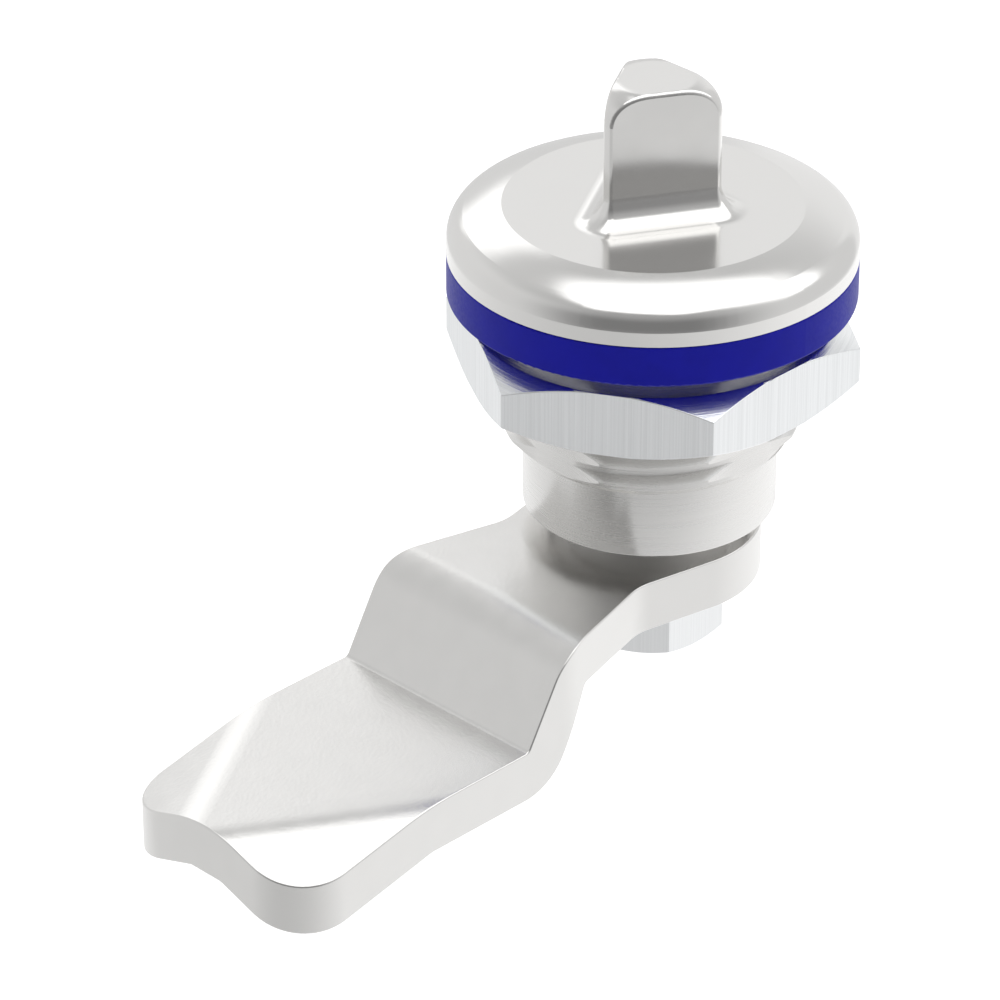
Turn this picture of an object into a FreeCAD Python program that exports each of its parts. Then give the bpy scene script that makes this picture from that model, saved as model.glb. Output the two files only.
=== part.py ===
"""Quarter-turn latch with a triangular key drive, a flush seal and a cranked latch arm.

Millimetres and degrees. The origin is on the spindle axis, in the front face of the panel that the
latch clamps. +Z points out of the panel to the person who turns the key, and the arm points along -Y.
"""
import FreeCAD, Part
import Sketcher
import math
import os

# Sizes that can be set by themselves
SIZES = {
    # Head with its rounded rim, and the triangular drive on it
    "head_height": 3.8,
    "rim_width": 4.0,
    "rim_start_angle": 10.5,
    "rim_dome_angle": 24.0,
    "rim_edge_radius": 2.0,
    "drive_height": 10.0,
    "drive_flat_distance": 2.78,
    "drive_bar_radius": 4.92,
    "drive_foot_radius": 2.1,
    "drive_nose_radius": 2.3,
    "drive_edge_radius": 0.3,
    # Spindle under the head
    "journal_radius": 6.0,
    "shank_square": 8.0,
    "shank_round_step": 0.7,
    "shank_recess": 0.3,
    "journal_overrun": 0.6,
    "tapping_step": 0.5,
    "tapping_spare": 2.0,
    # Seal between the head and the panel
    "seal_height": 3.2,
    "seal_width": 2.4,
    "seal_fit": 0.1,
    "seal_edge_radius": 0.2,
    "seal_foot": 0.6,
    # Housing that goes through the panel
    "flange_step": 1.5,
    "flange_top": 2.2,
    "thread_depth": 0.8,
    "thread_pitch": 1.5,
    "thread_crest": 0.19,
    "thread_flank_angle": 30.0,
    "thread_length": 10.5,
    "thread_end_height": 1.4,
    "thread_neck": 1.3,
    "barrel_flat_depth": 0.95,
    "nose_wall": 0.8,
    "nose_step": 0.8,
    "nose_edge_radius": 0.2,
    "stop_cover": 0.7,
    "land_length": 5.0,
    "land_gap": 0.1,
    # Plain bushes
    "bush_wall": 1.5,
    "bush_press_gap": 0.01,
    "bush_running_gap": 0.05,
    "bush_flange_step": 2.0,
    "bush_flange_gap": 0.5,
    "front_bush_length": 6.0,
    "rear_bush_length": 3.2,
    # Spindle seal rings, as squeezed in place
    "ring_section": 1.3,
    "ring_gap": 0.03,
    "ring_groove_width": 1.9,
    "ring_spacing": 2.8,
    # Washer, spring and snap ring that hold the spindle in
    "washer_gap": 0.1,
    "washer_side_gap": 0.2,
    "thrust_washer_thickness": 0.5,
    "spring_height": 0.9,
    "spring_thickness": 0.4,
    "snap_ring_thickness": 1.0,
    "snap_ring_side_gap": 0.5,
    "snap_ring_opening": 40.0,
    "snap_groove_depth": 0.5,
    "snap_groove_gap": 0.03,
    # Stop disc and the recess that limits its tab
    "turn_angle": 90.0,
    "stop_disc_thickness": 1.5,
    "stop_hub_wall": 0.65,
    "stop_tab_reach": 1.0,
    "stop_tab_angle": 40.0,
    "stop_tab_gap": 0.1,
    "stop_recess_gap": 0.3,
    "stop_play_angle": 0.5,
    "square_fit": 0.05,
    # Nut behind the panel
    "panel_thickness": 1.65,
    "nut_wall": 2.5,
    "nut_height": 5.0,
    "nut_chamfer_step": 0.06,
    "nut_chamfer_angle": 30.0,
    "nut_bore_gap": 0.15,
    # Cranked latch arm
    "arm_gap": 1.7,
    "arm_thickness": 4.0,
    "arm_length": 45.0,
    "arm_half_width": 9.45,
    "arm_hub_radius": 8.4,
    "arm_neck_angle": 11.5,
    "arm_waist_radius": 4.3,
    "arm_flare_angle": 15.0,
    "arm_shoulder": 17.8,
    "arm_shoulder_radius": 6.0,
    "arm_corner_radius": 4.6,
    "crank_start": 15.6,
    "crank_drop": 6.9,
    "crank_angle": 60.0,
    "crank_inner_radius": 0.5,
    "ramp_start": 29.3,
    "ramp_angle": 21.0,
    "ramp_bend_radius": 7.0,
    # Lock washer and screw that hold the arm
    "lock_washer_radius": 5.5,
    "lock_washer_gap": 0.2,
    "lock_washer_thickness": 1.0,
    "lock_tooth_count": 12.0,
    "lock_notch_width": 1.0,
    "lock_notch_depth": 1.1,
    "screw_radius": 3.0,
    "screw_length": 12.0,
    "screw_head_flats": 10.0,
    "screw_head_height": 4.15,
    "screw_chamfer_angle": 27.0,
    "screw_point_chamfer": 0.5,
    # How far a cutting outline runs past the piece that it cuts, or starts outside its surface
    "cut_margin": 2.0,
    "cut_overlap": 0.5,
    "thread_overlap": 0.05,
}

# Levels, radii and corner points that follow from the sizes
PLACES = {
    # Radii from the spindle outwards: journal, bush, stop recess, thread, flange, seal and head
    "shank_round": "Sizes.journal_radius - Sizes.shank_round_step",
    "bush_radius": "Sizes.journal_radius + Sizes.bush_wall",
    "bush_flange_radius": "bush_radius + Sizes.bush_flange_step",
    "washer_radius": "bush_radius - Sizes.washer_side_gap",
    "snap_ring_radius": "bush_radius - Sizes.snap_ring_side_gap",
    "stop_hub_radius": "shank_round + Sizes.square_fit + Sizes.stop_hub_wall",
    "stop_tab_radius": "bush_radius + Sizes.stop_tab_reach",
    "recess_radius": "stop_tab_radius + Sizes.stop_tab_gap",
    "nose_radius": "recess_radius + Sizes.nose_wall",
    "thread_root": "nose_radius + Sizes.nose_step",
    "thread_radius": "thread_root + Sizes.thread_depth",
    "barrel_half": "thread_radius - Sizes.barrel_flat_depth",
    "flange_radius": "thread_radius + Sizes.flange_step",
    "head_radius": "flange_radius + Sizes.seal_fit + Sizes.seal_width",
    "nut_half": "thread_radius + Sizes.nut_wall",
    "nut_chamfer_radius": "nut_half + Sizes.nut_chamfer_step",
    "tapping_radius": "Sizes.screw_radius - Sizes.tapping_step",
    "lock_washer_bore": "Sizes.screw_radius + Sizes.lock_washer_gap",
    # Levels along the spindle, and radii of its fits
    "disc_face": "Sizes.seal_height + Sizes.head_height",
    "disc_radius": "head_radius - Sizes.rim_width",
    "rim_turn_radius": "head_radius - Sizes.rim_edge_radius * (1 - sin(Sizes.rim_dome_angle))",
    "rim_dome_slope": "sin(Sizes.rim_dome_angle) - sin(Sizes.rim_start_angle)",
    "rim_dome_radius": "(rim_turn_radius - disc_radius) / rim_dome_slope",
    "rim_dome_drop": "rim_dome_radius * (cos(Sizes.rim_start_angle) - cos(Sizes.rim_dome_angle))",
    "rim_turn_level": "disc_face - rim_dome_drop",
    "rim_level": "rim_turn_level - Sizes.rim_edge_radius * cos(Sizes.rim_dome_angle)",
    "drive_tip": "disc_face + Sizes.drive_height",
    "drive_nose_start": "drive_tip - Sizes.drive_nose_radius",
    "drive_nose_flat": "Sizes.drive_bar_radius - Sizes.drive_nose_radius",
    "drive_outside": "Sizes.drive_bar_radius + Sizes.cut_margin",
    "lip_bore": "bush_flange_radius + Sizes.bush_flange_gap",
    "foot_bore": "thread_radius + Sizes.seal_fit",
    "bush_bore": "Sizes.journal_radius + Sizes.bush_running_gap",
    "bush_outside": "bush_radius - Sizes.bush_press_gap",
    "bush_flange_thickness": "Sizes.seal_height - Sizes.flange_top",
    "land_bore": "Sizes.journal_radius + Sizes.land_gap",
    "land_start": "Sizes.flange_top - Sizes.front_bush_length",
    "land_end": "land_start - Sizes.land_length",
    "land_middle": "(land_start + land_end) / 2",
    "front_ring": "land_middle + Sizes.ring_spacing / 2",
    "rear_ring": "land_middle - Sizes.ring_spacing / 2",
    "ring_groove_radius": "land_bore - Sizes.ring_section - 2 * Sizes.ring_gap",
    "ring_centre": "land_bore - Sizes.ring_gap - Sizes.ring_section / 2",
    "washer_bore": "Sizes.journal_radius + Sizes.washer_gap",
    "thrust_washer_top": "land_end - Sizes.rear_bush_length",
    "spring_top": "thrust_washer_top - Sizes.thrust_washer_thickness",
    "snap_ring_top": "spring_top - Sizes.spring_height",
    "snap_ring_end": "snap_ring_top - Sizes.snap_ring_thickness",
    "snap_groove_radius": "Sizes.journal_radius - Sizes.snap_groove_depth",
    "journal_end": "snap_ring_end - Sizes.journal_overrun",
    "housing_depth": "-journal_end + Sizes.stop_disc_thickness + Sizes.stop_cover",
    "arm_top": "-housing_depth - Sizes.arm_gap",
    "arm_under": "arm_top - Sizes.arm_thickness",
    "arm_low_top": "arm_top - Sizes.crank_drop",
    "shank_end": "arm_under + Sizes.shank_recess",
    "screw_seat": "arm_under - Sizes.lock_washer_thickness",
    "screw_end": "screw_seat + Sizes.screw_length",
    "tapping_end": "screw_end + Sizes.tapping_spare",
    "shank_half": "Sizes.shank_square / 2",
    "shank_corner": "sqrt(shank_round ^ 2 - shank_half ^ 2)",
    "square_half": "shank_half + Sizes.square_fit",
    "square_round": "shank_round + Sizes.square_fit",
    "square_corner": "sqrt(square_round ^ 2 - square_half ^ 2)",
    # Thread profile, from its last groove
    "thread_flank": "Sizes.thread_depth * tan(Sizes.thread_flank_angle)",
    "thread_gap_half": "(Sizes.thread_pitch - Sizes.thread_crest) / 2",
    "thread_floor_half": "thread_gap_half - thread_flank",
    "thread_last": "-Sizes.thread_length + Sizes.thread_crest + thread_gap_half",
    "thread_run": "-thread_last - thread_gap_half - Sizes.thread_neck",
    "barrel_end": "-Sizes.thread_length - Sizes.thread_end_height",
    "nut_corner": "2 * nut_half / sqrt(3)",
    "screw_head_corner": "Sizes.screw_head_flats / sqrt(3)",
    # Stop: the tab points away from the arm, and the recess leaves it the turn
    "recess_height": "housing_depth + journal_end + Sizes.stop_recess_gap",
    "recess_from": "90 - Sizes.stop_tab_angle / 2 - Sizes.stop_play_angle",
    "recess_to": "90 + Sizes.stop_tab_angle / 2 + Sizes.stop_play_angle + Sizes.turn_angle",
    # Side view of the arm, u measured from the spindle axis along the arm
    "crank_outer": "Sizes.crank_inner_radius + Sizes.arm_thickness",
    "crank_both": "Sizes.crank_inner_radius + crank_outer",
    "crank_slope_drop": "Sizes.crank_drop - crank_both * (1 - cos(Sizes.crank_angle))",
    "crank_slope_run": "crank_slope_drop / tan(Sizes.crank_angle)",
    "crank_end": "Sizes.crank_start + crank_both * sin(Sizes.crank_angle) + crank_slope_run",
    # Plan view of the arm, v measured across it: hub, straight neck, waist, straight flare and shoulder
    "hub_touch_u": "Sizes.arm_hub_radius * sin(Sizes.arm_neck_angle)",
    "hub_touch_v": "Sizes.arm_hub_radius * cos(Sizes.arm_neck_angle)",
    "neck_foot": "Sizes.arm_hub_radius / cos(Sizes.arm_neck_angle)",
    "flare_foot": "Sizes.arm_half_width - Sizes.arm_shoulder * tan(Sizes.arm_flare_angle)",
    "waist_u": "(neck_foot - flare_foot) / (tan(Sizes.arm_neck_angle) + tan(Sizes.arm_flare_angle))",
    "waist_v": "flare_foot + waist_u * tan(Sizes.arm_flare_angle)",
    "waist_cut": "Sizes.arm_waist_radius * tan((Sizes.arm_neck_angle + Sizes.arm_flare_angle) / 2)",
    "neck_to_u": "waist_u - waist_cut * cos(Sizes.arm_neck_angle)",
    "neck_to_v": "waist_v + waist_cut * sin(Sizes.arm_neck_angle)",
    "flare_sine": "sin(Sizes.arm_flare_angle)",
    "flare_cosine": "cos(Sizes.arm_flare_angle)",
    "flare_from_u": "waist_u + waist_cut * flare_cosine",
    "flare_from_v": "waist_v + waist_cut * flare_sine",
    "shoulder_cut": "Sizes.arm_shoulder_radius * tan(Sizes.arm_flare_angle / 2)",
    "flare_to_u": "Sizes.arm_shoulder - shoulder_cut * flare_cosine",
    "flare_to_v": "Sizes.arm_half_width - shoulder_cut * flare_sine",
    "shoulder_end_u": "Sizes.arm_shoulder + shoulder_cut",
    # Ramps: the bend on each one starts at a line from the arm's edge to the middle of its tip
    "ramp_run": "Sizes.arm_length - Sizes.ramp_start",
    "ramp_line": "sqrt(ramp_run ^ 2 + Sizes.arm_half_width ^ 2)",
    "ramp_bend_turn": "atan(Sizes.arm_half_width / ramp_run)",
    "ramp_touch": "Sizes.ramp_bend_radius * tan(Sizes.ramp_angle / 2)",
    "ramp_reach": "Sizes.arm_half_width + 2 * Sizes.cut_margin",
    "plan_margin": "ramp_line + ramp_reach",
    "ramp_drop": "(ramp_reach - ramp_touch) * tan(Sizes.ramp_angle)",
    "ramp_middle": "-Sizes.arm_thickness / 2",
}

doc = FreeCAD.newDocument("quarter_turn_latch")


def make_sheet(name, cells, prefix=""):
    """Put each value in a cell of its own, under its own name."""
    sheet = doc.addObject("Spreadsheet::Sheet", name)
    for row, (alias, content) in enumerate(cells.items(), 1):
        sheet.set(f"A{row}", alias)
        sheet.set(f"B{row}", f"{prefix}{content}")
        sheet.setAlias(f"B{row}", alias)
    doc.recompute()
    return sheet


sizes = make_sheet("Sizes", SIZES)
places = make_sheet("Places", PLACES, prefix="=")


def number(expression):
    """Work out an expression over the two sheets as a plain number."""
    result = sizes.evalExpression(expression)
    return float(getattr(result, "Value", result))


def new_body(label, level="0"):
    """Start a piece, seated at its own level on the spindle axis."""
    body = doc.addObject("PartDesign::Body", label)
    body.Label = label
    body.setExpression("Placement.Base.z", level)
    return body


def origin_plane(body, role):
    return next(plane for plane in body.Origin.OriginFeatures if plane.Role == role)


def new_sketch(body, name, role, level=None):
    sketch = body.newObject("Sketcher::SketchObject", name)
    sketch.AttachmentSupport = [(origin_plane(body, role), "")]
    sketch.MapMode = "FlatFace"
    if level is not None:
        sketch.setExpression("AttachmentOffset.Base.z", level)
    doc.recompute()
    return sketch


def bind(sketch, kind, geometry, point, expression):
    """Fix one coordinate of a sketch point by an expression over the sheets."""
    if expression == "0":
        axis = -2 if kind == "DistanceX" else -1
        sketch.addConstraint(Sketcher.Constraint("PointOnObject", geometry, point, axis))
        return
    index = sketch.addConstraint(
        Sketcher.Constraint(kind, -1, 1, geometry, point, number(expression)))
    sketch.setExpression(f"Constraints[{index}]", expression)


def arc_between(start, end, radius, turn):
    """Shorter arc from start to end; turn is 1 for counter-clockwise and -1 for clockwise."""
    chord = end - start
    middle = (start + end) / 2
    height = math.sqrt(max(radius ** 2 - (chord.Length / 2) ** 2, 0.0))
    left = FreeCAD.Vector(-chord.y, chord.x, 0) / chord.Length
    centre = middle + left * height * turn
    first, last = (start, end) if turn > 0 else (end, start)
    angle_first = math.atan2(first.y - centre.y, first.x - centre.x)
    angle_last = math.atan2(last.y - centre.y, last.x - centre.x)
    circle = Part.Circle(centre, FreeCAD.Vector(0, 0, 1), radius)
    return Part.ArcOfCircle(circle, angle_first, angle_last)


def draw_outline(sketch, corners, arcs=None):
    """Draw a closed outline through corners given as pairs of expressions.

    arcs maps a corner's number to the radius and turn of the arc that leaves it; other sides are straight.
    """
    arcs = arcs or {}
    first_index = sketch.GeometryCount
    points = [FreeCAD.Vector(number(x), number(y), 0) for x, y in corners]
    ends = []
    for side, start in enumerate(points):
        end = points[(side + 1) % len(points)]
        if side in arcs:
            radius, turn = arcs[side]
            sketch.addGeometry(arc_between(start, end, number(radius), turn), False)
            ends.append((1, 2) if turn > 0 else (2, 1))
        else:
            sketch.addGeometry(Part.LineSegment(start, end), False)
            ends.append((1, 2))
    for side in range(len(points)):
        following = (side + 1) % len(points)
        sketch.addConstraint(Sketcher.Constraint(
            "Coincident", first_index + side, ends[side][1], first_index + following, ends[following][0]))
    for side, (x, y) in enumerate(corners):
        bind(sketch, "DistanceX", first_index + side, ends[side][0], x)
        bind(sketch, "DistanceY", first_index + side, ends[side][0], y)
    for side, (radius, _) in arcs.items():
        index = sketch.addConstraint(
            Sketcher.Constraint("Radius", first_index + side, number(radius)))
        sketch.setExpression(f"Constraints[{index}]", radius)


def draw_circle(sketch, radius, x="0", y="0"):
    centre = FreeCAD.Vector(number(x), number(y), 0)
    circle = sketch.addGeometry(Part.Circle(centre, FreeCAD.Vector(0, 0, 1), number(radius)), False)
    bind(sketch, "DistanceX", circle, 3, x)
    bind(sketch, "DistanceY", circle, 3, y)
    index = sketch.addConstraint(Sketcher.Constraint("Radius", circle, number(radius)))
    sketch.setExpression(f"Constraints[{index}]", radius)


def add_feature(body, kind, name, **settings):
    """Add a feature, recompute it, and stop if it fails or a cut takes nothing away."""
    before = body.Shape.Volume if body.Tip else 0.0
    feature = body.newObject(f"PartDesign::{kind}", name)
    expressions = settings.pop("expressions", {})
    for key, setting in settings.items():
        setattr(feature, key, setting)
    for key, expression in expressions.items():
        feature.setExpression(key, expression)
    body.Tip = feature
    doc.recompute()
    if "Invalid" in feature.State or "Error" in feature.State:
        raise ValueError(f"{body.Label}: {name} fails")
    after = body.Shape.Volume
    if kind in ("Pocket", "Groove") and not after < before:
        raise ValueError(f"{body.Label}: {name} takes nothing away")
    return feature


def revolve(body, name, corners, arcs=None, cut=False, angle="360"):
    """Turn an outline of radius and height pairs about the spindle axis."""
    sketch = new_sketch(body, f"{name}_outline", "XZ_Plane")
    draw_outline(sketch, corners, arcs)
    return add_feature(body, "Groove" if cut else "Revolution", name, Profile=sketch,
                       ReferenceAxis=(sketch, ["V_Axis"]), expressions={"Angle": angle})


def pad(body, name, sketch, length, downward=False):
    return add_feature(body, "Pad", name, Profile=sketch, Reversed=downward,
                       expressions={"Length": length})


def pocket(body, name, sketch, length, upward=False):
    """Cut an outline downwards from its sketch, or upwards."""
    return add_feature(body, "Pocket", name, Profile=sketch, Reversed=upward,
                       expressions={"Length": length})


def edges_where(feature, test, over):
    """Names of the feature's edges whose ends and middle pass the test, with the middle over a level."""
    names = []
    for index, edge in enumerate(feature.Shape.Edges, 1):
        middle = edge.valueAt((edge.FirstParameter + edge.LastParameter) / 2)
        places_on_edge = [vertex.Point for vertex in edge.Vertexes] + [middle]
        if middle.z > over and all(test(point) for point in places_on_edge):
            names.append(f"Edge{index}")
    return names


def round_edges(body, name, radius, test, over=-math.inf):
    names = edges_where(body.Tip, test, over)
    if not names:
        raise ValueError(f"{body.Label}: {name} finds no edge")
    return add_feature(body, "Fillet", name, Base=(body.Tip, names), expressions={"Radius": radius})


def near(first, second):
    tolerance = 0.001
    return abs(first - second) < tolerance


def ring_edge(radius, height):
    """Test for points on the circle of that radius at that height, both as expressions."""
    radius_value = number(radius)
    height_value = number(height)
    return lambda point: near(math.hypot(point.x, point.y), radius_value) and near(point.z, height_value)


def square_corners(half, corner):
    """Eight corners of a square whose four corners are turned off round."""
    return [(half, f"-{corner}"), (half, corner), (corner, half), (f"-{corner}", half),
            (f"-{half}", corner), (f"-{half}", f"-{corner}"), (f"-{corner}", f"-{half}"),
            (corner, f"-{half}")]


def draw_turned_square(sketch, half, corner, radius):
    corner_arcs = {side: (radius, 1) for side in (1, 3, 5, 7)}
    draw_outline(sketch, square_corners(half, corner), corner_arcs)


def draw_box(sketch, half_x, low_y, high_y):
    draw_outline(sketch, [(half_x, low_y), (half_x, high_y), (f"-({half_x})", high_y),
                          (f"-({half_x})", low_y)])


def draw_polygon(sketch, radius, count):
    """Regular outline with one corner pointing along the arm."""
    turns = [360 / count * step - 90 for step in range(count)]
    draw_outline(sketch, [(f"{radius} * cos({turn})", f"{radius} * sin({turn})") for turn in turns])


def chamfer_ring(body, name, radius, angle, corner, height, upper):
    """Turn a conical chamfer on the corners of a hexagon, at its upper or lower face."""
    outside = f"({corner} + Sizes.cut_margin)"
    rise = f"({outside} - {radius}) * tan({angle})"
    far = f"{height} - {rise}" if upper else f"{height} + {rise}"
    return revolve(body, name, [(radius, height), (outside, height), (outside, far)], cut=True)


def rectangle(inner, outer, low, high):
    """Corners of a turned ring's section."""
    return [(inner, low), (outer, low), (outer, high), (inner, high)]


def make_panel_seal():
    """Ring with a lip over the housing's flange and a foot under it."""
    body = new_body("panel_seal")
    bore = "Places.flange_radius + Sizes.seal_fit"
    revolve(body, "ring", [
        ("Places.foot_bore", "0"),
        ("Places.head_radius", "0"),
        ("Places.head_radius", "Sizes.seal_height"),
        ("Places.lip_bore", "Sizes.seal_height"),
        ("Places.lip_bore", "Sizes.flange_top"),
        (bore, "Sizes.flange_top"),
        (bore, "Sizes.seal_foot"),
        ("Places.foot_bore", "Sizes.seal_foot")])
    upper = ring_edge("Places.head_radius", "Sizes.seal_height")
    lower = ring_edge("Places.head_radius", "0")
    round_edges(body, "edges", "Sizes.seal_edge_radius", lambda point: upper(point) or lower(point))
    return body


def make_housing():
    body = new_body("housing")
    revolve(body, "turned_body", [
        ("Places.bush_radius", "Sizes.flange_top"),
        ("Places.flange_radius", "Sizes.flange_top"),
        ("Places.flange_radius", "Sizes.seal_foot"),
        ("Places.thread_radius", "Sizes.seal_foot"),
        ("Places.thread_radius", "-Sizes.thread_length"),
        ("Places.nose_radius", "Places.barrel_end"),
        ("Places.nose_radius", "-Places.housing_depth"),
        ("Places.bush_radius", "-Places.housing_depth"),
        ("Places.bush_radius", "Places.land_end"),
        ("Places.land_bore", "Places.land_end"),
        ("Places.land_bore", "Places.land_start"),
        ("Places.bush_radius", "Places.land_start")])
    round_edges(body, "nose_edge", "Sizes.nose_edge_radius",
                ring_edge("Places.nose_radius", "-Places.housing_depth"))

    flats = new_sketch(body, "flats_outline", "XY_Plane")
    for half in ("(Places.thread_radius + Sizes.cut_margin)", "Places.barrel_half"):
        draw_box(flats, half, f"-{half}", half)
    pocket(body, "flats", flats, "-Places.barrel_end")

    spare = "Sizes.thread_overlap"
    wide = f"Places.thread_gap_half + {spare} * tan(Sizes.thread_flank_angle)"
    groove = revolve(body, "thread_groove", [
        ("Places.thread_root", "Places.thread_last - Places.thread_floor_half"),
        (f"Places.thread_radius + {spare}", f"Places.thread_last - ({wide})"),
        (f"Places.thread_radius + {spare}", f"Places.thread_last + ({wide})"),
        ("Places.thread_root", "Places.thread_last + Places.thread_floor_half")], cut=True)
    steps = math.floor(number("Places.thread_run / Sizes.thread_pitch"))
    add_feature(body, "LinearPattern", "thread", Originals=[groove],
                Direction=(groove.Profile[0], ["V_Axis"]), Occurrences=steps + 1,
                expressions={"Length": f"Sizes.thread_pitch * {steps}"})

    recess = new_sketch(body, "stop_recess_outline", "XY_Plane", "-Places.housing_depth")
    draw_sector(recess, "Places.bush_radius - Sizes.cut_overlap", "Places.recess_radius",
                "Places.recess_from", "Places.recess_to")
    pocket(body, "stop_recess", recess, "Places.recess_height", upward=True)
    return body


def draw_sector(sketch, inner, outer, start, end):
    """Draw a ring sector between two radii and two angles."""
    corners = [(f"{radius} * cos({angle})", f"{radius} * sin({angle})") for radius, angle in (
        (f"({inner})", start), (f"({outer})", start), (f"({outer})", end), (f"({inner})", end))]
    draw_outline(sketch, corners, {1: (outer, 1), 3: (inner, -1)})


def make_drive_spindle():
    body = new_body("drive_spindle")
    revolve(body, "head_and_drive_bar", [
        ("0", "Places.drive_tip"),
        ("0", "Places.journal_end"),
        ("Sizes.journal_radius", "Places.journal_end"),
        ("Sizes.journal_radius", "Sizes.seal_height"),
        ("Places.head_radius", "Sizes.seal_height"),
        ("Places.head_radius", "Places.rim_level"),
        ("Places.rim_turn_radius", "Places.rim_turn_level"),
        ("Places.disc_radius", "Places.disc_face"),
        ("Sizes.drive_bar_radius", "Places.disc_face"),
        ("Sizes.drive_bar_radius", "Places.drive_nose_start"),
        ("Places.drive_nose_flat", "Places.drive_tip")],
        {5: ("Sizes.rim_edge_radius", 1), 6: ("Places.rim_dome_radius", 1),
         9: ("Sizes.drive_nose_radius", 1)})

    flats = new_sketch(body, "drive_flats_outline", "XY_Plane", "Places.disc_face")
    draw_circle(flats, "Places.drive_outside")
    draw_polygon(flats, "2 * Sizes.drive_flat_distance", 3)
    pocket(body, "drive_flats", flats, "Sizes.drive_height", upward=True)
    disc_face = number("Places.disc_face")
    bar_radius = number("Sizes.drive_bar_radius")
    round_edges(body, "drive_edges", "Sizes.drive_edge_radius", is_on_drive_flat,
                over=disc_face + number("Sizes.drive_edge_radius"))
    round_edges(body, "drive_foot", "Sizes.drive_foot_radius",
                lambda point: near(point.z, disc_face) and math.hypot(point.x, point.y) <= bar_radius)

    shank = new_sketch(body, "shank_outline", "XY_Plane", "Places.journal_end")
    draw_turned_square(shank, "Places.shank_half", "Places.shank_corner", "Places.shank_round")
    pad(body, "shank", shank, "Places.journal_end - Places.shank_end", downward=True)

    outside = "Sizes.journal_radius + Sizes.cut_overlap"
    half = "Sizes.ring_groove_width / 2"
    ring_levels = {"front_ring_groove": "Places.front_ring", "rear_ring_groove": "Places.rear_ring"}
    for name, level in ring_levels.items():
        revolve(body, name, rectangle("Places.ring_groove_radius", outside, f"{level} - {half}",
                                      f"{level} + {half}"), cut=True)
    revolve(body, "snap_ring_groove", rectangle(
        "Places.snap_groove_radius", outside, "Places.snap_ring_end - Sizes.snap_groove_gap",
        "Places.snap_ring_top + Sizes.snap_groove_gap"), cut=True)

    tapping = new_sketch(body, "tapped_hole_outline", "XY_Plane", "Places.shank_end")
    draw_circle(tapping, "Places.tapping_radius")
    pocket(body, "tapped_hole", tapping, "Places.tapping_end - Places.shank_end", upward=True)
    return body


def is_on_drive_flat(point):
    """Whether a point lies on one of the three flats, whose middles face away from the corners."""
    distance = number("Sizes.drive_flat_distance")
    middles = [math.radians(90 + turn) for turn in (0, 120, 240)]
    reach = max(point.x * math.cos(middle) + point.y * math.sin(middle) for middle in middles)
    return near(reach, distance)


def make_front_bush():
    body = new_body("front_bush", "Sizes.flange_top")
    revolve(body, "bush", [
        ("Places.bush_bore", "Places.bush_flange_thickness"),
        ("Places.bush_flange_radius", "Places.bush_flange_thickness"),
        ("Places.bush_flange_radius", "0"),
        ("Places.bush_outside", "0"),
        ("Places.bush_outside", "-Sizes.front_bush_length"),
        ("Places.bush_bore", "-Sizes.front_bush_length")])
    return body


def make_rear_bush():
    body = new_body("rear_bush", "Places.land_end")
    revolve(body, "bush", rectangle("Places.bush_bore", "Places.bush_outside",
                                    "-Sizes.rear_bush_length", "0"))
    return body


def make_seal_ring(label, level):
    body = new_body(label, level)
    sketch = new_sketch(body, "section", "XZ_Plane")
    draw_circle(sketch, "Sizes.ring_section / 2", x="Places.ring_centre")
    add_feature(body, "Revolution", "ring", Profile=sketch, ReferenceAxis=(sketch, ["V_Axis"]))
    return body


def make_thrust_washer():
    body = new_body("thrust_washer", "Places.thrust_washer_top")
    revolve(body, "washer", rectangle("Places.washer_bore", "Places.washer_radius",
                                      "-Sizes.thrust_washer_thickness", "0"))
    return body


def make_disc_spring():
    body = new_body("disc_spring", "Places.spring_top")
    revolve(body, "cone", [
        ("Places.washer_bore", "0"),
        ("Places.washer_bore", "-Sizes.spring_thickness"),
        ("Places.washer_radius", "-Sizes.spring_height"),
        ("Places.washer_radius", "Sizes.spring_thickness - Sizes.spring_height")])
    return body


def make_snap_ring():
    body = new_body("snap_ring", "Places.snap_ring_top")
    revolve(body, "ring", rectangle("Places.snap_groove_radius + Sizes.snap_groove_gap",
                                    "Places.snap_ring_radius", "-Sizes.snap_ring_thickness", "0"),
            angle="360 - Sizes.snap_ring_opening")
    return body


def make_stop_disc():
    body = new_body("stop_disc", "Places.journal_end")
    disc = new_sketch(body, "disc_outline", "XY_Plane")
    draw_circle(disc, "Places.washer_radius")
    pad(body, "disc", disc, "Sizes.stop_disc_thickness", downward=True)
    tab = new_sketch(body, "tab_outline", "XY_Plane")
    draw_sector(tab, "Places.stop_hub_radius", "Places.stop_tab_radius",
                "(90 - Sizes.stop_tab_angle / 2)", "(90 + Sizes.stop_tab_angle / 2)")
    pad(body, "tab", tab, "Sizes.stop_disc_thickness", downward=True)
    hub = new_sketch(body, "hub_outline", "XY_Plane")
    draw_circle(hub, "Places.stop_hub_radius")
    pad(body, "hub", hub, "Places.journal_end - Places.arm_top", downward=True)
    cut_square_hole(body, "0", "Places.journal_end - Places.arm_top")
    return body


def cut_square_hole(body, level, depth):
    """Cut the hole that the spindle's square shank fits."""
    hole = new_sketch(body, "square_hole_outline", "XY_Plane", level)
    draw_turned_square(hole, "Places.square_half", "Places.square_corner", "Places.square_round")
    pocket(body, "square_hole", hole, depth)


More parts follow.
